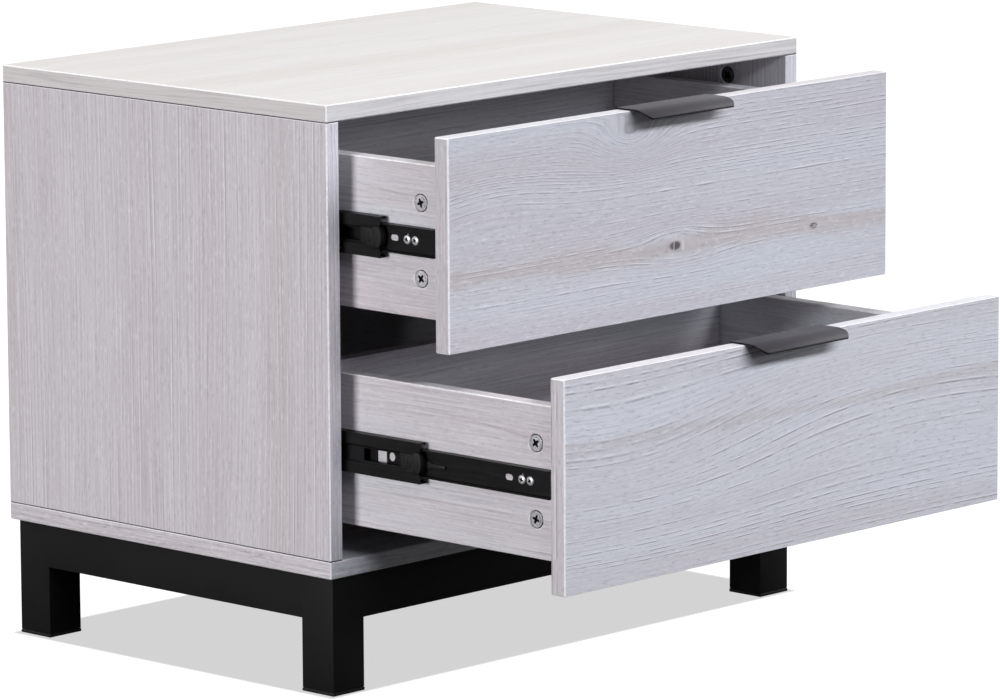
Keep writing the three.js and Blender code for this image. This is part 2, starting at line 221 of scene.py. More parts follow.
# ---------------------------------------------------------------- shader helpers
class Nodes:
    """A thin layer over a new material's or world's nodes: each call adds one and returns its output."""

    def __init__(self, owner, shader="Principled BSDF"):
        owner.use_nodes = True
        self.owner = owner
        self.tree = owner.node_tree
        self.shader = self.tree.nodes[shader]

    def add(self, kind, inputs=(), output=0, **settings):
        node = self.tree.nodes.new(kind)
        for key, value in settings.items():
            setattr(node, key, value)
        for key, value in dict(inputs).items():
            self.plug(value, node.inputs[key])
        return node.outputs[output]

    def plug(self, value, socket):
        if isinstance(value, bpy.types.NodeSocket):
            self.tree.links.new(value, socket)
        else:
            socket.default_value = value

    def place(self):
        """Where a point is, in the frame's coordinates."""
        return self.add("ShaderNodeTexCoord", output="Object")

    def split(self, vector):
        return self.add("ShaderNodeSeparateXYZ", {0: vector}).node.outputs

    def stretch(self, vector, scale):
        return self.add("ShaderNodeMapping", {"Vector": vector, "Scale": scale})

    def math(self, operation, a, b=0.0):
        return self.add("ShaderNodeMath", {0: a, 1: b}, operation=operation)

    def multiply_add(self, a, b, c):
        return self.add("ShaderNodeMath", {0: a, 1: b, 2: c}, operation="MULTIPLY_ADD")

    def noise(self, vector, scale=1.0, detail=2.0, rough=0.5):
        return self.add(
            "ShaderNodeTexNoise",
            {"Vector": vector, "Scale": scale, "Detail": detail, "Roughness": rough},
        )

    def combine(self, x, y, z):
        return self.add("ShaderNodeCombineXYZ", {0: x, 1: y, 2: z})

    def ramp(self, value, low, high, to_low=0.0, to_high=1.0):
        """A value's smooth step from one level to another between two limits."""
        return self.add(
            "ShaderNodeMapRange",
            {"Value": value, "From Min": low, "From Max": high, "To Min": to_low, "To Max": to_high},
            interpolation_type="SMOOTHSTEP",
        )

    def mix(self, factor, a, b, blend="MIX"):
        node = self.tree.nodes.new("ShaderNodeMix")
        node.data_type = "RGBA"
        node.blend_type = blend
        self.plug(factor, node.inputs["Factor"])
        self.plug(a, node.inputs[6])
        self.plug(b, node.inputs[7])
        return node.outputs[2]

    def surface(self, **values):
        """Sets the shader's inputs, which are named with _ for each space."""
        for key, value in values.items():
            self.plug(value, self.shader.inputs[key.replace("_", " ")])

    def bump(self, height, distance, strength):
        normal = self.add(
            "ShaderNodeBump", {"Height": height, "Distance": distance, "Strength": strength}
        )
        self.surface(Normal=normal)


def material_nodes(name):
    return Nodes(bpy.data.materials.new(name))


def srgb(r, g, b):
    """A colour given in 0-255 display values, as linear light."""
    def linear(v):
        v = v / 255
        return v / 12.92 if v <= 0.04045 else ((v + 0.055) / 1.055) ** 2.4
    return (linear(r), linear(g), linear(b), 1.0)


# ---------------------------------------------------------------- laminate
PLAIN_TONES = (srgb(216, 219, 225), srgb(211, 205, 209))
# The top panel is the same board as the sides; its lighter, creamier tones are painted light from above.
TOP_TONES_PAINTED_LIGHT = (srgb(229, 227, 225), srgb(224, 220, 217))
SIDE_TONES = (srgb(211, 209, 214), srgb(207, 202, 206))
UPPER_FRONT_TONES = (srgb(212, 215, 221), srgb(207, 201, 205))
LOWER_FRONT_TONES = (srgb(221, 223, 229), srgb(214, 209, 213))
WARM_TONE = srgb(198, 188, 186)
LINE_TONE = srgb(150, 145, 152)
# A near-white tone for painted highlights of the embossing.
PAINTED_HIGHLIGHT_TONE = srgb(244, 243, 248)
KNOT_TONE = srgb(96, 88, 88)
RIPPLE_DEPTH = 2.5 * MM
STAIN_DRIFT = 22 * MM
EMBOSS_DEPTH = 0.3 * MM


class Print:
    """What one board's wood-effect print shows. Lengths are in metres, places in the frame's coordinates.
    pitch: spacing of the growth lines; wander: how far they stray across the grain;
    dash, run: how many line dashes and how many fine streaks there are in a metre of grain;
    lines, streaks, flecks, warm: how strongly growth lines, fine streaks, short flecks and warm
    bands show, and with them the painted highlights beside the growth lines and in the pale streaks and
    flecks;
    swells: (along, across, reach along, reach across, push) bends the grain around a place;
    stains: (across, half width, strength) warm bands; knots: (along, across, size) small dark knots;
    band: how strongly lines and streaks show on the edge bands, if that is more than on the face;
    edge_shade, end_shade: painted light and shade, as brightness factors of the edge bands that run with
    the grain and across it;
    tones: the two base colours of the print."""

    def __init__(self, pitch=4.2 * MM, dash=70.0, run=30.0, lines=0.6, streaks=1.0, flecks=1.0, warm=0.5,
                 wander=0.03, swells=(), stains=(), knots=(), band=0.0, edge_shade=1.0, end_shade=1.0,
                 tones=PLAIN_TONES):
        self.pitch = pitch
        self.dash = dash
        self.run = run
        self.lines = lines
        self.streaks = streaks
        self.flecks = flecks
        self.warm = warm
        self.wander = wander
        self.swells = swells
        self.stains = stains
        self.knots = knots
        self.band = band
        self.edge_shade = edge_shade
        self.end_shade = end_shade
        self.tones = tones


def laminate(name, grain, normal, seed, look):
    """Grey-washed wood-effect board. grain and normal are axis numbers, and the print runs along grain.
    On the edges that cross the grain, the edge band's print runs along the edge instead."""
    n = material_nodes(name)
    xyz = n.split(n.place())
    facing = n.split(n.add("ShaderNodeTexCoord", output="Normal"))
    across_axis = X_AXIS + Y_AXIS + Z_AXIS - grain - normal
    is_end = n.ramp(n.math("ABSOLUTE", facing[grain]), 0.6, 0.8)
    is_edge = n.ramp(n.math("ABSOLUTE", facing[across_axis]), 0.6, 0.8)
    on_face = n.math("SUBTRACT", 1.0, is_end)
    on_band = n.math("MAXIMUM", is_end, is_edge)

    def pick(a, b):
        """a on the faces and the long edges, b on the ends of the grain."""
        return n.add("ShaderNodeMix", {0: is_end, 2: a, 3: b}, data_type="FLOAT")

    depth = xyz[normal]
    along = n.math("ADD", pick(xyz[grain], xyz[across_axis]), seed * 1.37)
    across = n.math("ADD", pick(xyz[across_axis], xyz[grain]), depth)

    def bell(centre_along, centre_across, reach_along, reach_across):
        """1 at a place on the board, falling smoothly to 0 around it."""
        u = n.math("DIVIDE", n.math("SUBTRACT", xyz[grain], centre_along), reach_along)
        v = n.math("DIVIDE", n.math("SUBTRACT", xyz[across_axis], centre_across), reach_across)
        square = n.math("ADD", n.math("MULTIPLY", u, u), n.math("MULTIPLY", v, v))
        return n.math("EXPONENT", n.math("MULTIPLY", square, -1.0))

    pushed = across
    for centre_along, centre_across, reach_along, reach_across, push in look.swells:
        swell = bell(centre_along, centre_across, reach_along, reach_across)
        pushed = n.math("ADD", pushed, n.math("MULTIPLY", n.math("MULTIPLY", swell, push), on_face))

    def level(share, factor):
        """A strength on the board's face, which rises to the edge bands' own where that is more."""
        return n.ramp(on_band, 0.0, 1.0, factor * share, factor * max(share, look.band))

    def spread(k_along, k_across, offset=0.0, field=None):
        """Places for a noise with this many features in each metre, along and across the grain."""
        return n.combine(
            n.math("MULTIPLY", n.math("ADD", along, offset), k_along),
            n.math("MULTIPLY", pushed if field is None else field, k_across),
            seed + offset,
        )

    slow = n.noise(spread(1.1, 5.0), 1.0, 1.0)
    ripple = n.noise(spread(5.0, 30.0, 3.0), 1.0, 1.0)
    flow = n.math("ADD", pushed, n.math("MULTIPLY", n.math("SUBTRACT", slow, 0.5), look.wander))
    flow = n.math("ADD", flow, n.math("MULTIPLY", n.math("SUBTRACT", ripple, 0.5), RIPPLE_DEPTH))

    # Growth lines: each has its own strength, and breaks into dashes along the grain.
    loose = n.noise(spread(1.0, 35.0, 5.0, flow), 1.0, 1.0)
    rings = n.math("ADD", n.math("DIVIDE", flow, look.pitch), n.math("MULTIPLY", loose, 3.0))
    ring = n.math("FLOOR", rings)
    phase = n.math("SUBTRACT", rings, ring)
    own = n.add("ShaderNodeTexWhiteNoise", {"W": n.math("ADD", ring, seed)}, noise_dimensions="1D")
    dash_place = n.combine(n.math("MULTIPLY", along, look.dash), n.math("MULTIPLY", ring, 7.3), seed)
    dash = n.noise(dash_place, 1.0, 2.0)
    zone = n.noise(spread(1.6, 13.0, 9.0, flow), 1.0, 1.0)
    strength = n.math("MULTIPLY", n.ramp(own, 0.1, 1.0, 0.25, 1.0), n.ramp(zone, 0.36, 0.62, 0.12, 1.0))
    strength = n.math("MULTIPLY", strength, n.ramp(dash, 0.42, 0.60, 0.22, 1.0))

    def line(centre, half_width):
        away = n.math("ABSOLUTE", n.math("SUBTRACT", phase, centre))
        return n.math("MULTIPLY", n.ramp(away, half_width, 0.0), strength)

    groove = line(0.42, 0.20)
    # The pale line just beside each groove is a painted highlight on the groove's lit side.
    painted_highlight_line = line(0.74, 0.20)

    # Broad tones, warm bands and fine streaks. The pale streaks and pale flecks are partly print and
    # partly a painted highlight of the embossing.
    broad = n.noise(spread(0.9, 17.0, 11.0, flow), 1.0, 2.0)
    warm = n.noise(spread(0.7, 12.0, 7.0, flow), 1.0, 2.0)
    warm_mask = n.math("MULTIPLY", n.ramp(warm, 0.54, 0.70), look.warm)
    for centre, half_width, stain_strength in look.stains:
        drift = n.math("SUBTRACT", n.noise(spread(3.5, 0.0, 13.0), 1.0, 1.0), 0.5)
        drift = n.math("MULTIPLY", drift, STAIN_DRIFT)
        away = n.math("ABSOLUTE", n.math("SUBTRACT", n.math("ADD", xyz[across_axis], drift), centre))
        swelling = n.noise(spread(7.0, 40.0, 17.0), 1.0, 1.0)
        width = n.math("MULTIPLY", n.ramp(swelling, 0.3, 0.7, 0.55, 1.5), half_width)
        stain = n.ramp(n.math("DIVIDE", away, width), 1.25, 0.45, 0.0, stain_strength)
        warm_mask = n.math("MAXIMUM", warm_mask, n.math("MULTIPLY", stain, on_face))
    streak = n.noise(spread(look.run, 480.0, 2.0, flow), 1.0, 3.0, 0.6)
    fleck = n.noise(spread(120.0, 560.0, 1.0, flow), 1.0, 1.5)
    dark_fleck = n.math("MULTIPLY", n.ramp(fleck, 0.58, 0.72), look.flecks)
    painted_highlight_fleck = n.math("MULTIPLY", n.ramp(fleck, 0.42, 0.28), look.flecks)

    colour = n.mix(n.ramp(broad, 0.34, 0.66), look.tones[1], look.tones[0])
    colour = n.mix(n.math("MULTIPLY", warm_mask, 0.8), colour, WARM_TONE)
    colour = n.mix(n.ramp(streak, 0.46, 0.74, 0.0, level(look.streaks, 0.40)), colour, LINE_TONE)
    # Pale streaks and flecks: partly lighter print, partly painted highlight; pale lines beside the
    # grooves: painted highlight.
    colour = n.mix(n.ramp(streak, 0.50, 0.26, 0.0, level(look.streaks, 0.50)), colour, PAINTED_HIGHLIGHT_TONE)
    colour = n.mix(n.math("MULTIPLY", dark_fleck, 0.40), colour, LINE_TONE)
    colour = n.mix(n.math("MULTIPLY", painted_highlight_fleck, 0.50), colour, PAINTED_HIGHLIGHT_TONE)
    colour = n.mix(n.math("MULTIPLY", groove, level(look.lines, 0.75)), colour, LINE_TONE)
    colour = n.mix(n.math("MULTIPLY", painted_highlight_line, level(look.lines, 0.75)), colour, PAINTED_HIGHLIGHT_TONE)
    for centre_along, centre_across, size in look.knots:
        speck = n.noise(spread(170.0, 620.0, 4.0, flow), 1.0, 2.0)
        eye = bell(centre_along, centre_across, 1.9 * size, size)
        dark = n.math("MULTIPLY", n.ramp(eye, 0.15, 0.65), n.ramp(speck, 0.40, 0.52, 0.3, 1.0))
        colour = n.mix(dark, colour, KNOT_TONE)
    # Painted light and shade: the edge bands along the grain and across it are lightened or darkened by a
    # factor.
    shade = n.math("MULTIPLY", is_edge, look.edge_shade - 1.0)
    shade = n.math("ADD", shade, n.math("MULTIPLY", is_end, look.end_shade - 1.0))
    shade = n.math("ADD", shade, 1.0)
    colour = n.mix(1.0, colour, n.combine(shade, shade, shade), "MULTIPLY")

    height = n.math("MULTIPLY", streak, 0.5)
    height = n.math("SUBTRACT", height, n.math("MULTIPLY", groove, 0.9 * look.lines))
    height = n.math("SUBTRACT", height, n.math("MULTIPLY", dark_fleck, 0.6))
    n.surface(
        Base_Color=colour,
        Roughness=n.ramp(streak, 0.3, 0.7, 0.44, 0.60),
        Specular_IOR_Level=0.35,
    )
    n.bump(height, EMBOSS_DEPTH, 0.6)
    return n.owner


def pale_arris_highlight():
    """The thin pale line where the edge band is trimmed back to the board: partly the trimmed band's
    paler colour, partly a painted highlight of the glint along the edge.
    """
    n = material_nodes("laminate_arris_highlight")
    speck = n.noise(n.place(), 260.0, 3.0)
    n.surface(
        Base_Color=n.mix(n.ramp(speck, 0.35, 0.7), srgb(251, 250, 252), srgb(236, 234, 238)),
        Roughness=0.38,
    )
    n.bump(speck, 0.1 * MM, 0.3)
    return n.owner


# ---------------------------------------------------------------- metals and plastics
def powder_coat(name, colour, worn, roughness, grain, specular):
    """Fine-textured powder coat with faint handling marks. grain: features in a metre."""
    n = material_nodes(name)
    place = n.place()
    fine = n.noise(place, grain, 3.0, 0.6)
    cloud = n.noise(place, 9.0, 4.0, 0.6)
    scuff = n.ramp(n.noise(n.stretch(place, (30.0, 90.0, 22.0)), 1.0, 5.0, 0.7), 0.66, 0.78)
    tone = n.mix(n.ramp(cloud, 0.35, 0.7, 0.0, 0.35), colour, worn)
    tone = n.mix(n.math("MULTIPLY", scuff, 0.25), tone, worn)
    tone = n.mix(n.ramp(fine, 0.5, 0.8, 0.0, 0.3), tone, worn)
    n.surface(
        Base_Color=tone,
        Roughness=n.ramp(cloud, 0.3, 0.7, roughness - 0.06, roughness + 0.06),
        Specular_IOR_Level=specular,
    )
    n.bump(fine, 0.12 * MM, 0.5)
    return n.owner


def plated(name, colour, shade, roughness, metallic, specular=0.5, streak_axis=None):
    """Plated steel: faint rolling streaks along one axis, or a cast mottling."""
    n = material_nodes(name)
    place = n.place()
    scale = [900.0, 900.0, 900.0]
    if streak_axis is not None:
        scale[streak_axis] = 25.0
    streak = n.noise(n.stretch(place, scale), 1.0, 3.0, 0.6)
    cloud = n.noise(place, 60.0, 3.0)
    n.surface(
        Base_Color=n.mix(n.ramp(cloud, 0.3, 0.7), colour, shade),
        Metallic=metallic,
        Roughness=n.ramp(streak, 0.3, 0.7, roughness - 0.07, roughness + 0.09),
        Specular_IOR_Level=specular,
    )
    n.bump(streak, 0.05 * MM, 0.4)
    return n.owner


def moulded_plastic(name, colour, shade):
    """Plastic with a fine moulded pebble and soft clouds."""
    n = material_nodes(name)
    place = n.place()
    pebble = n.noise(place, 1400.0, 2.0)
    cloud = n.noise(place, 40.0, 3.0)
    n.surface(
        Base_Color=n.mix(n.ramp(cloud, 0.3, 0.7), colour, shade),
        Roughness=n.ramp(cloud, 0.3, 0.7, 0.5, 0.66),
        Specular_IOR_Level=0.2,
    )
    n.bump(pebble, 0.08 * MM, 0.5)
    return n.owner


def backing_board(name, pale, deep, speck):
    """Smooth hardboard with a printed foil: soft clouds and an even fibre fleck."""
    n = material_nodes(name)
    place = n.place()
    fibre = n.noise(n.stretch(place, (90.0, 420.0, 420.0)), 1.0, 4.0, 0.7)
    cloud = n.noise(place, 9.0, 4.0)
    tone = n.mix(n.ramp(cloud, 0.3, 0.7), pale, deep)
    n.surface(
        Base_Color=n.mix(n.ramp(fibre, 0.50, 0.75, 0.0, 0.55), tone, speck),
        Roughness=n.ramp(fibre, 0.3, 0.7, 0.55, 0.70),
    )
    n.bump(fibre, 0.12 * MM, 0.5)
    return n.owner


BLACK_COAT = powder_coat(
    "base_powder_coat", srgb(11, 11, 12), srgb(25, 25, 27), roughness=0.56, grain=1500.0, specular=0.14
)
HANDLE_COAT = powder_coat(
    "handle_powder_coat", srgb(31, 27, 36), srgb(49, 45, 55), roughness=0.42, grain=2400.0, specular=0.36
)
# A darker copy of the handle coat: painted shade for the lip's lower edge and the pull's ends.
HANDLE_EDGE_PAINTED_SHADE = powder_coat(
    "handle_edge_painted_shade", srgb(10, 9, 12), srgb(22, 21, 25), roughness=0.55, grain=2400.0, specular=0.15
)
SLIDE_STEEL = plated(
    "black_slide_steel", srgb(13, 13, 14), srgb(7, 7, 8), roughness=0.42, metallic=0.15, specular=0.2,
    streak_axis=Y_AXIS,
)
ZINC = plated("zinc_plate", srgb(236, 235, 238), srgb(206, 205, 210), roughness=0.30, metallic=0.5)
# The same zinc as the drawer cams, darker as painted shade for the cams inside the carcass.
CAM_ZINC_PAINTED_SHADE = plated("dark_cam_zinc", srgb(112, 111, 115), srgb(84, 83, 87), roughness=0.42, metallic=0.45)
FOOT_PLASTIC = moulded_plastic("foot_plastic", srgb(13, 13, 14), srgb(20, 20, 21))
BUMPER_PLASTIC = moulded_plastic("bumper_plastic", srgb(12, 12, 13), srgb(20, 20, 21))
# A near-black material that is painted shade inside recesses and bores.
RECESS_PAINTED_SHADE = moulded_plastic("recess_shadow", srgb(12, 12, 12), srgb(24, 23, 23))
# A dark strip material that is painted shadow in the joints between boards.
JOINT_PAINTED_SHADOW = moulded_plastic("joint_shadow", srgb(66, 63, 66), srgb(88, 84, 88))
BACK_BOARD = backing_board(
    "back_hardboard", srgb(218, 215, 217), srgb(211, 207, 210), srgb(176, 171, 174)
)
BOTTOM_BOARD = backing_board(
    "drawer_bottom_board", srgb(160, 157, 160), srgb(148, 145, 148), srgb(112, 109, 112)
)
ARRIS_HIGHLIGHT = pale_arris_highlight()


# ---------------------------------------------------------------- boards
ARRIS_WIDTH = 1.0 * MM
JOINT_RECESS = 0.55 * MM
JOINT_REACH = 0.45 * MM


def dress_board(node, grain, normal, seed, look):
    """Keeps a CAD board and gives it its print and the trimmed edges of its edge bands."""
    board = refinish(node, laminate(f"laminate_{node}", grain, normal, seed, look), ARRIS_HIGHLIGHT)
    # The trimmed edges take the near-white arris material, partly a painted highlight.
    trim_edges(board, ARRIS_WIDTH, segments=1, material=1)


def on_front(node, right, up):
    """A place on a drawer front, as shares of its width and height."""
    low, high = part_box(node)
    return low.x + right * (high.x - low.x), low.z + up * (high.z - low.z)


def dress_carcass():
    # Carcass edge bands along the grain are lightened as painted light, the end bands a little darker as
    # painted shade.
    shades = {"edge_shade": 1.12, "end_shade": 0.97}
    # The top's tones carry painted light from above, and its end bands are darkened back as painted
    # shade.
    plain_top = Print(
        pitch=6 * MM, dash=6.0, run=10.0, lines=0.15, streaks=0.3, flecks=0.25, warm=0.12,
        band=0.9, end_shade=0.88, tones=TOP_TONES_PAINTED_LIGHT,
    )
    dress_board("top_panel", X_AXIS, Z_AXIS, 1.0, plain_top)
    dress_board("bottom_panel", X_AXIS, Z_AXIS, 2.0, Print(dash=9.0, run=12.0, **shades))
    pinstripe = {
        "pitch": 4.4 * MM, "dash": 5.0, "run": 9.0, "lines": 0.95, "streaks": 0.75, "flecks": 0.75,
        "wander": 0.035, "tones": SIDE_TONES,
    }
    dress_board("left_side_panel", Z_AXIS, X_AXIS, 3.0, Print(warm=0.35, **pinstripe, **shades))
    dress_board("right_side_panel", Z_AXIS, X_AXIS, 4.0, Print(**pinstripe, **shades))
    refinish("back_panel", BACK_BOARD)


def dress_fronts():
    """The drawer fronts: embossed grain, with the photo's warm bands, knots and swirls."""
    # The fronts' edge bands along the grain are lightened as painted light, their end bands darkened as
    # painted shade.
    emboss = {
        "dash": 42.0, "lines": 1.25, "streaks": 0.45, "flecks": 0.8,
        "edge_shade": 1.14, "end_shade": 0.94,
    }
    upper, lower = "upper_drawer_front", "lower_drawer_front"
    stain_height = on_front(upper, 0, 0.325)[1]
    knot, small_knot = on_front(upper, 0.50, 0.325), on_front(upper, 0.823, 0.305)
    swirl, arch = on_front(upper, 0.40, 0.86), on_front(upper, 0.10, 0.70)
    dress_board(upper, X_AXIS, Y_AXIS, 5.0, Print(
        pitch=3.6 * MM, warm=0.3, wander=0.02, tones=UPPER_FRONT_TONES,
        stains=[(stain_height, 10 * MM, 0.9)],
        knots=[(*knot, 3.8 * MM), (*small_knot, 2.6 * MM)],
        swells=[
            (*swirl, 45 * MM, 20 * MM, 26 * MM),
            (*arch, 90 * MM, 30 * MM, -12 * MM),
            (knot[0], knot[1] + 12 * MM, 45 * MM, 12 * MM, -8 * MM),
            (knot[0] + 10 * MM, knot[1] - 12 * MM, 60 * MM, 12 * MM, 8 * MM),
        ],
        **emboss,
    ))
    cathedral, rise = on_front(lower, 0.16, 0.55), on_front(lower, 0.80, 0.62)
    warm_streak = on_front(lower, 0, 0.66)[1]
    dress_board(lower, X_AXIS, Y_AXIS, 6.0, Print(
        pitch=4.4 * MM, warm=0.4, wander=0.03, tones=LOWER_FRONT_TONES,
        stains=[(warm_streak, 7 * MM, 0.45)],
        swells=[
            (*cathedral, 190 * MM, 60 * MM, 30 * MM),
            (*rise, 260 * MM, 55 * MM, -20 * MM),
        ],
        **emboss,
    ))


def dress_drawer_boxes():
    look = Print(
        pitch=5.5 * MM, dash=11.0, run=14.0, lines=0.55, streaks=0.8, flecks=0.6, wander=0.02
    )
    for index, name in enumerate(DRAWERS):
        dress_board(f"{name}_drawer_left_side", Y_AXIS, X_AXIS, 7.0 + index, look)
        dress_board(f"{name}_drawer_right_side", Y_AXIS, X_AXIS, 9.0 + index, look)
        dress_board(f"{name}_drawer_back", X_AXIS, Y_AXIS, 11.0 + index, look)
        refinish(f"{name}_drawer_bottom", BOTTOM_BOARD)


def build_joint_shadow_strips():
    """Dark strips set back in the trimmed edges under the top panel and over the bottom panel: painted
    shadow in the joints, where the boards meet and only shade falls.
    """
    low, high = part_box("left_side_panel")
    for name, level in (("top", high.z), ("bottom", low.z)):
        for side_name, side in SIDES.items():
            panel_low, panel_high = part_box(f"{side_name}_side_panel")
            bm = bmesh.new()
            add_box(
                bm,
                (panel_low.x + JOINT_RECESS, panel_low.y + JOINT_RECESS, level - JOINT_REACH),
                (panel_high.x - JOINT_RECESS, panel_high.y - JOINT_RECESS, level + JOINT_REACH),
            )
            piece = finish_mesh(bm, f"{side_name}_{name}_joint_shadow_strip")
            paint(piece, JOINT_PAINTED_SHADOW)
            settle(piece, "carcass")


# ---------------------------------------------------------------- base
WELD_OVERLAP = 0.4 * MM
TUBE_CORNER = 1.3 * MM
FOOT_RIM = 3 * MM
FOOT_CORNER = 0.8 * MM


def build_base():
    """The legs and aprons as one welded frame with the rounded corners of drawn tube."""
    members = [n for n in NODES if n.startswith(("leg_", "apron_"))]
    legs = [n for n in members if n.startswith("leg_")]
    frame_piece = None
    for node in legs + [n for n in members if n not in legs]:
        low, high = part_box(node)
        if node not in legs:
            run = max(range(3), key=lambda i: (high - low)[i])
            low[run] -= WELD_OVERLAP
            high[run] += WELD_OVERLAP
        bm = bmesh.new()
        add_box(bm, low, high)
        piece = finish_mesh(bm, f"base_{node}")
        if frame_piece is None:
            frame_piece = piece
            frame_piece.name = "welded_base_frame"
            continue
        boolean(frame_piece, piece, "UNION")
    finish_edges(frame_piece, TUBE_CORNER, 50, 50, segments=3)
    paint(frame_piece, BLACK_COAT)
    settle(frame_piece, "carcass", members)


def build_feet():
    """The moulded rims of the foot caps, which stand just proud of the legs."""
    for node in [n for n in NODES if n.startswith("foot_cap_")]:
        low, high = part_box(node)
        bm = bmesh.new()
        add_box(bm, low, (high.x, high.y, low.z + FOOT_RIM))
        piece = finish_mesh(bm, f"{node}_moulding")
        finish_edges(piece, FOOT_CORNER, 35, 50, segments=3)
        paint(piece, FOOT_PLASTIC)
        settle(piece, "carcass", [node])


# ---------------------------------------------------------------- fittings
CAM_GAP = 0.6 * MM
CAM_BORE = 1.6 * MM
CAM_GROOVE = 0.9 * MM
CAM_CHAMFER = 0.1 * MM
SCREW_SEGMENTS = 32
HANDLE_SCREW_HEIGHT = 1.8 * MM


def turned(direction):
    """The rotation that turns +Z to point in a direction."""
    return direction.to_track_quat("Z", "Y").to_matrix().to_4x4()


def place_on(piece, axis, sign, point):
    """Moves a shape made about +Z to a point on a face that looks along an axis."""
    direction = Vector((0, 0, 0))
    direction[axis] = sign
    piece.data.transform(Matrix.Translation(point) @ turned(direction))


def own_turn(node, steps):
    """A turn in radians that differs between fittings and is the same in each run."""
    return 0.3 * (sum(map(ord, node)) % steps)


def cut_cross(piece, reach, width, top, bottom, turn):
    """Cuts a tapered screwdriver recess about +Z, painted dark inside as shade."""
    taper = 0.6
    arm = width / 2
    corner = arm * 1.5
    quarter = [(reach, -arm), (reach, arm), (corner, corner)]
    outline = []
    for i in range(4):
        rotation = Matrix.Rotation(turn + i * math.pi / 2, 2)
        outline += [rotation @ Vector(point) for point in quarter]
    bm = bmesh.new()
    add_prism(bm, outline, Z_AXIS, bottom, top)
    for v in bm.verts:
        if v.co.z < (top + bottom) / 2:
            v.co.x *= taper
            v.co.y *= taper
    cutter = finish_mesh(bm, "recess")
    paint(cutter, RECESS_PAINTED_SHADE)
    boolean(piece, cutter, "DIFFERENCE")


def cut_mark(piece, distance, length, width, turn):
    """Cuts a short mark that points from a cam's cross to its rim, painted dark inside as shade."""
    bm = bmesh.new()
    for v in add_box(bm, (distance, -width / 2, -0.5 * MM), (distance + length, width / 2, MM)):
        v.co = Matrix.Rotation(turn, 3, "Z") @ v.co
    cutter = finish_mesh(bm, "mark")
    paint(cutter, RECESS_PAINTED_SHADE)
    boolean(piece, cutter, "DIFFERENCE")


def build_cam(node, material, side, turn):
    """A cam lock: a stepped disc in a bore whose ring is painted dark as shade, with a pointer mark and a
    cross recess, both painted dark inside as shade.
    """
    low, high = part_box(node)
    radius = (high.z - low.z) / 2
    depth = high.x - low.x
    disc = radius - CAM_GAP
    bm = bmesh.new()
    add_lathe(bm, [
        (0, -depth), (radius, -depth), (radius, -CAM_BORE), (disc, -CAM_BORE), (disc, -0.45 * MM),
        (disc - 0.3 * MM, -CAM_CHAMFER), (disc - 0.9 * MM, -CAM_CHAMFER),
        (disc - 1.1 * MM, -CAM_GROOVE), (disc - 1.7 * MM, -CAM_GROOVE), (disc - 1.9 * MM, 0), (0, 0),
    ])
    piece = finish_mesh(bm, f"{node}_disc")
    paint(piece, material)
    # The bore's ring around the disc is painted dark as shade.
    paint(piece, RECESS_PAINTED_SHADE, lambda face: face.center.xy.length > disc + 0.01 * MM)
    cut_cross(piece, reach=4.4 * MM, width=2.0 * MM, top=MM, bottom=-2.6 * MM, turn=turn)
    cut_mark(piece, distance=4.9 * MM, length=1.2 * MM, width=1.3 * MM, turn=turn + 0.8)
    place_on(piece, X_AXIS, side, Vector((low.x if side < 0 else high.x, *middle(node).yz)))
    smooth(piece, 35)
    settle(piece, node_body(node), [node])


def build_cams():
    for node in sorted(n for n in NODES if "_cam_" in n):
        side = SIDES["left" if "_left_" in node else "right"]
        turn = 0.35 + own_turn(node, 4)
        # The carcass cams sit in shade, which is painted into a darker copy of the zinc.
        if node.startswith("carcass"):
            build_cam(node, CAM_ZINC_PAINTED_SHADE, -side, turn)
        else:
            build_cam(node, ZINC, side, turn)


def build_screw(name, body, point, axis, sign, radius, height, turn, replaced=()):
    """A screw head with a domed top and a cross recess, standing on a face at point."""
    bm = bmesh.new()
    add_lathe(bm, [
        (0, -MM), (0.5 * radius, -MM), (0.5 * radius, 0), (radius, 0), (radius, 0.3 * height),
        (0.92 * radius, 0.62 * height), (0.70 * radius, 0.88 * height), (0.4 * radius, height),
        (0, height),
    ], SCREW_SEGMENTS)
    piece = finish_mesh(bm, name)
    paint(piece, ZINC)
    cut_cross(piece, 0.62 * radius, 0.30 * radius, height + MM, 0.15 * height, turn)
    place_on(piece, axis, sign, point)
    smooth(piece, 40)
    settle(piece, body, replaced)


def build_handle_screws():
    for node in sorted(n for n in NODES if "_handle_screw_" in n):
        low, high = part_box(node)
        spot = middle(node)
        spot.y = high.y - HANDLE_SCREW_HEIGHT
        build_screw(
            f"{node}_head", node_body(node), spot, Y_AXIS, 1, radius=(high.x - low.x) / 2,
            height=HANDLE_SCREW_HEIGHT, turn=own_turn(node, 5), replaced=[node],
        )


# ---------------------------------------------------------------- slides
SLIDE_STEEL_THICKNESS = 1.2 * MM
SLIDE_CORNER = 0.35 * MM
RUNNER_SCREWS = (28.6 * MM, 38 * MM, 240 * MM)
RUNNER_SCREW_RADIUS = 3.9 * MM
RUNNER_SCREW_HEIGHT = 1.3 * MM
BUMPER_CORNER = 0.3 * MM
LEVER_DISTANCE = 125 * MM
LEVER_LENGTH = 15 * MM
LEVER_BOSS_DISTANCE = 19 * MM
LEVER_BOSS = 3.6 * MM
LEVER_HALF_WIDTH = 1.5 * MM
LEVER_DROP = 1.5 * MM
LEVER_HEIGHT = 1.6 * MM
LEVER_SUNK = 0.1 * MM
LEVER_CORNER = 0.4 * MM


def dress_members():
    for node in [n for n in NODES if n.endswith("_member")]:
        trim_edges(refinish(node, SLIDE_STEEL), SLIDE_CORNER)


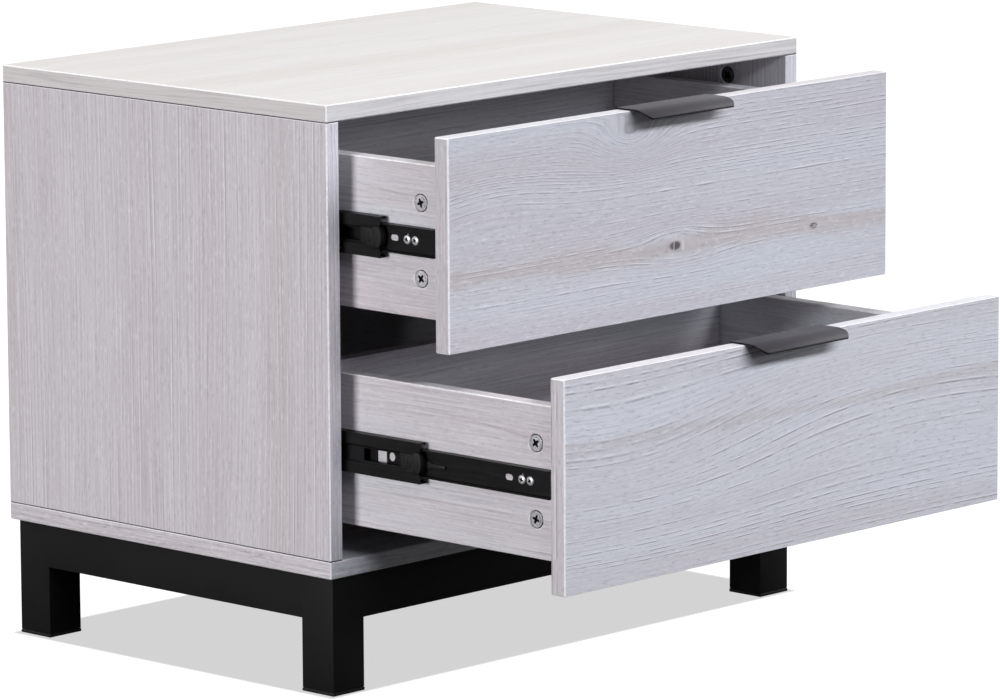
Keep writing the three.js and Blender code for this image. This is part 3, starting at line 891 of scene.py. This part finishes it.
def member_start(name, side_name):
    """Where a drawer member starts: x of its web's open face, y behind the front, and its mid height."""
    low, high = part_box(f"{name}_{side_name}_drawer_member")
    outer, inward = (high.x, -1) if side_name == "left" else (low.x, 1)
    web = outer + inward * SLIDE_STEEL_THICKNESS
    return web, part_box(f"{name}_drawer_front")[1].y, (low.z + high.z) / 2


def build_runner_screws(name, side_name):
    """The screws that hold a drawer member to its drawer side, seen in the punched holes."""
    web, start, centre_z = member_start(name, side_name)
    for index, distance in enumerate(RUNNER_SCREWS):
        build_screw(
            f"{name}_{side_name}_runner_screw_{index}", f"{name}_drawer",
            Vector((web, start + distance, centre_z)), X_AXIS, SIDES[side_name],
            RUNNER_SCREW_RADIUS, RUNNER_SCREW_HEIGHT, turn=0.5 + 0.7 * index,
        )


def build_bumper(name, side_name):
    """The plastic buffer in a middle member's fork: a plate, a raised stop and two catch ribs."""
    side = SIDES[side_name]
    low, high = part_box(f"{name}_{side_name}_middle_member")
    outer = low.x if side < 0 else high.x
    centre_z = (low.z + high.z) / 2
    tip = low.y

    def pad(back, front, half_height, bulge, near, far):
        """One pad, from back to front behind the fork's tip and from near to far behind its face."""
        points = [(back, -half_height), (front, -half_height)]
        for i in range(1, 12):
            share = -1 + 2 * i / 12
            points.append((front - bulge * (1 - share * share), share * half_height))
        points += [(front, half_height), (back, half_height)]
        outline = [(tip + y, centre_z + z) for y, z in points]
        bm = bmesh.new()
        add_prism(bm, outline, X_AXIS, *sorted((outer - side * near, outer - side * far)))
        return finish_mesh(bm, f"{name}_{side_name}_bumper")

    bumper = pad(23 * MM, 3.2 * MM, half_height=7.2 * MM, bulge=3.0 * MM, near=0.3 * MM, far=1.4 * MM)
    stop = pad(7.6 * MM, 1.8 * MM, half_height=9.0 * MM, bulge=3.0 * MM, near=0.1 * MM, far=6.3 * MM)
    boolean(bumper, stop, "UNION")
    rib = pad(17.5 * MM, 15.5 * MM, half_height=6.0 * MM, bulge=1.5 * MM, near=-0.2 * MM, far=MM)
    boolean(bumper, rib, "UNION")
    rib = pad(12.2 * MM, 11.0 * MM, half_height=4.5 * MM, bulge=1.5 * MM, near=-0.2 * MM, far=MM)
    boolean(bumper, rib, "UNION")
    finish_edges(bumper, BUMPER_CORNER, 40, 40)
    paint(bumper, BUMPER_PLASTIC)
    settle(bumper, f"{name}_slide_middle")


def build_lever(name, side_name):
    """The plastic release lever on a drawer member: a long tongue from a round boss."""
    side = SIDES[side_name]
    web, start, centre_z = member_start(name, side_name)
    start += LEVER_DISTANCE
    centre_z -= LEVER_DROP
    tip, root = LEVER_HALF_WIDTH, 1.4 * LEVER_HALF_WIDTH
    outline = [(start, centre_z - tip), (start + LEVER_LENGTH, centre_z - root)]
    outline += arc(start + LEVER_BOSS_DISTANCE, centre_z, LEVER_BOSS, -130, 130, 12)
    outline += [(start + LEVER_LENGTH, centre_z + root), (start, centre_z + tip)]
    bm = bmesh.new()
    add_prism(bm, outline, X_AXIS, *sorted((web - side * LEVER_SUNK, web + side * LEVER_HEIGHT)))
    piece = finish_mesh(bm, f"{name}_{side_name}_release_lever")
    finish_edges(piece, LEVER_CORNER, 40, 40)
    paint(piece, BUMPER_PLASTIC)
    settle(piece, f"{name}_drawer")


# ---------------------------------------------------------------- handles
HANDLE_SHEET = 1.3 * MM
HANDLE_BEND_RADIUS = 1.6 * MM
HANDLE_LIP_RADIUS = 24 * MM
HANDLE_OVERHANG = 5 * MM
HANDLE_CORNER = 9 * MM
HANDLE_EDGE_RADIUS = 0.3 * MM
HANDLE_SHADED_RIM = 0.9 * MM


def sheet_outline(path, thickness):
    """A centre line thickened by half the sheet on each side."""
    def offset(sign):
        points = []
        for i, point in enumerate(path):
            before = (point - path[max(i - 1, 0)]).normalized()
            after = (path[min(i + 1, len(path) - 1)] - point).normalized()
            along = (before + after).normalized()
            ends = i in (0, len(path) - 1)
            miter = thickness / 2 / (1 if ends else math.sqrt((1 + before.dot(after)) / 2))
            points.append((point.x - sign * along.y * miter, point.y + sign * along.x * miter))
        return points
    return offset(1) + offset(-1)[::-1]


def build_handle(name):
    """A bent sheet pull: a rear flange, a plate over the front's top edge and a curled, rounded lip."""
    node = f"{name}_drawer_handle"
    low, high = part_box(node)
    top = high.z - HANDLE_SHEET / 2
    back = high.y - HANDLE_SHEET / 2
    bend = HANDLE_BEND_RADIUS
    lip = HANDLE_LIP_RADIUS
    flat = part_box(f"{name}_drawer_front")[0].y - HANDLE_OVERHANG
    curl = math.degrees(math.asin((flat - low.y) / (lip + HANDLE_SHEET / 2)))
    path = [Vector((back, low.z))]
    path += arc(back - bend, top - bend, bend, 0, 90, 6)
    path += arc(flat, top - lip, lip, 90, 90 + curl, 20)
    bm = bmesh.new()
    add_prism(bm, sheet_outline(path, HANDLE_SHEET), X_AXIS, low.x - MM, high.x + MM)
    piece = finish_mesh(bm, f"{name}_handle_pull")

    corner = HANDLE_CORNER
    plan = [(low.x, high.y + MM)]
    plan += arc(low.x + corner, low.y + corner, corner, 180, 270, 12)
    plan += arc(high.x - corner, low.y + corner, corner, 270, 360, 12)
    plan.append((high.x, high.y + MM))
    bm = bmesh.new()
    add_prism(bm, plan, Z_AXIS, low.z - MM, high.z + MM)
    boolean(piece, finish_mesh(bm, "plan"), "INTERSECT")
    finish_edges(piece, HANDLE_EDGE_RADIUS, 40, 32)
    paint(piece, HANDLE_COAT)
    # The lip's lower edge and the pull's side ends are painted dark as shade.
    rim = low.y + HANDLE_SHADED_RIM
    paint(piece, HANDLE_EDGE_PAINTED_SHADE, lambda face: face.center.y < rim or abs(face.normal.x) > 0.25)
    settle(piece, f"{name}_drawer", [node])


# ---------------------------------------------------------------- camera, light and floor
CAMERA_AIM = Vector((0.1205, 0.137, 0.2227))
CAMERA_AZIMUTH = math.radians(-46.54)
CAMERA_ELEVATION = math.radians(9.87)
CAMERA_ROLL = -0.0057
CAMERA_DISTANCE = 6.152
CAMERA_LENS = 244.3
CAMERA_SENSOR = 36
CAMERA_FAR = 200
STUDIO_CENTRE = Vector((0, 0, 0.28))
SOFTBOX_DISTANCE = 4.2
WHITE = (1.0, 1.0, 1.0)
ROSY = (1.0, 0.965, 0.985)
CREAM = (1.0, 0.985, 0.93)
COOL = (0.935, 0.96, 1.03)
PALE_BLUE = (0.94, 0.97, 1.02)
WORLD_DIFFUSE = 0.012
WORLD_GLOSSY = 0.8
FLOOR_SIZE = 60
FLOOR_GLOW = 0.65
FLOOR_SEEN = (0.42, 0.42, 0.42, 1)
FLOOR_BOUNCE = (0.06, 0.06, 0.06, 1)


def build_camera():
    back = Vector((
        math.sin(CAMERA_AZIMUTH) * math.cos(CAMERA_ELEVATION),
        -math.cos(CAMERA_AZIMUTH) * math.cos(CAMERA_ELEVATION),
        math.sin(CAMERA_ELEVATION),
    ))
    level_right = Vector((0, 0, 1)).cross(back).normalized()
    level_up = back.cross(level_right)
    right = math.cos(CAMERA_ROLL) * level_right + math.sin(CAMERA_ROLL) * level_up
    up = back.cross(right)
    data = bpy.data.cameras.new("camera")
    data.lens = CAMERA_LENS
    data.sensor_width = CAMERA_SENSOR
    data.clip_end = CAMERA_FAR
    camera = bpy.data.objects.new("camera", data)
    scene.collection.objects.link(camera)
    rotation = Matrix((right, up, back)).transposed().to_4x4()
    camera.matrix_world = Matrix.Translation(CAMERA_AIM + back * CAMERA_DISTANCE) @ rotation
    scene.camera = camera


def add_light(name, kind, towards, strength, colour, distance=0.0):
    """A light that shines from a direction at the middle of the object."""
    data = bpy.data.lights.new(name, kind)
    data.energy = strength
    data.color = colour
    light = bpy.data.objects.new(name, data)
    towards = Vector(towards).normalized()
    light.matrix_world = Matrix.Translation(STUDIO_CENTRE + towards * distance) @ turned(towards)
    scene.collection.objects.link(light)
    return light


def add_sun(name, towards, strength, softness, colour):
    """A large, far soft box: softness is how wide it looks, in degrees."""
    light = add_light(name, "SUN", towards, strength, colour)
    light.data.angle = math.radians(softness)
    return light


def add_softbox(name, towards, watts, width, height, colour):
    light = add_light(name, "AREA", towards, watts, colour, SOFTBOX_DISTANCE)
    light.data.shape = "RECTANGLE"
    light.data.size = width
    light.data.size_y = height
    return light


def link_light(light, receivers, blockers=None):
    """Limits what a light falls on, by (piece, state), and if asked what casts its shadow."""
    lit = bpy.data.collections.new(f"{light.name}_lit")
    for piece, state in receivers:
        lit.objects.link(piece)
        lit.collection_objects[-1].light_linking.link_state = state
    light.light_linking.receiver_collection = lit
    if blockers:
        casting = bpy.data.collections.new(f"{light.name}_blockers")
        for piece in blockers:
            casting.objects.link(piece)
        light.light_linking.blocker_collection = casting


def build_studio(floor):
    """Two soft boxes and four wide suns light the object alone.
    The floor has its own overhead light, which casts the shadow of the bottom panel alone."""
    object_lights = [
        add_softbox("left_box", (-1.0, 0.15, 0.08), watts=109, width=1.2, height=1.2, colour=ROSY),
        add_softbox("front_box", (0.0, -1.0, 0.62), watts=151, width=4.6, height=0.6, colour=COOL),
        add_sun("low_front", (0.15, -1.0, 0.28), strength=0.22, softness=8, colour=PALE_BLUE),
        add_sun("top_box", (0.0, 0.05, 1.0), strength=1.26, softness=16, colour=CREAM),
        add_sun("right_fill", (1.0, -0.1, 0.35), strength=1.15, softness=30, colour=WHITE),
        add_sun("rear_fill", (0.1, 1.0, 0.35), strength=1.2, softness=30, colour=WHITE),
    ]
    for light in object_lights:
        link_light(light, [(floor, "EXCLUDE")])
    floor_light = add_sun("floor_light", (0.0, 0.0, 1.0), strength=3.6, softness=3, colour=WHITE)
    link_light(floor_light, [(floor, "INCLUDE")], [NODES["bottom_panel"]])
    scene.view_settings.view_transform = "Standard"


def build_world():
    """White behind the object and in its reflections, and almost no light of its own."""
    n = Nodes(bpy.data.worlds.new("studio"), "Background")
    path = n.add("ShaderNodeLightPath").node.outputs
    strength = n.multiply_add(path["Is Camera Ray"], 1.0 - WORLD_DIFFUSE, WORLD_DIFFUSE)
    strength = n.multiply_add(path["Is Glossy Ray"], WORLD_GLOSSY, strength)
    n.surface(Color=(*WHITE, 1), Strength=strength)
    scene.world = n.owner


def build_floor():
    """A floor that looks almost white and throws little light back under the object."""
    bm = bmesh.new()
    bmesh.ops.create_grid(bm, x_segments=2, y_segments=2, size=FLOOR_SIZE)
    floor = finish_mesh(bm, "studio_floor")
    n = material_nodes("pale_floor")
    n.tree.nodes.remove(n.shader)
    seen = n.add("ShaderNodeLightPath", output="Is Camera Ray")
    diffuse = n.add("ShaderNodeBsdfDiffuse", {"Color": n.mix(seen, FLOOR_BOUNCE, FLOOR_SEEN)})
    glow = n.add("ShaderNodeEmission", {"Strength": FLOOR_GLOW})
    both = n.add("ShaderNodeAddShader", {0: diffuse, 1: glow})
    choice = n.add("ShaderNodeMixShader", {0: seen, 1: diffuse, 2: both})
    n.plug(choice, n.tree.nodes["Material Output"].inputs["Surface"])
    floor.data.materials.append(n.owner)
    return floor


# ---------------------------------------------------------------- make it
build_camera()
build_studio(build_floor())
build_world()
dress_carcass()
dress_fronts()
dress_drawer_boxes()
build_joint_shadow_strips()
build_base()
build_feet()
build_cams()
build_handle_screws()
dress_members()
for drawer in DRAWERS:
    build_handle(drawer)
    for side in SIDES:
        build_runner_screws(drawer, side)
        build_bumper(drawer, side)
        build_lever(drawer, side)
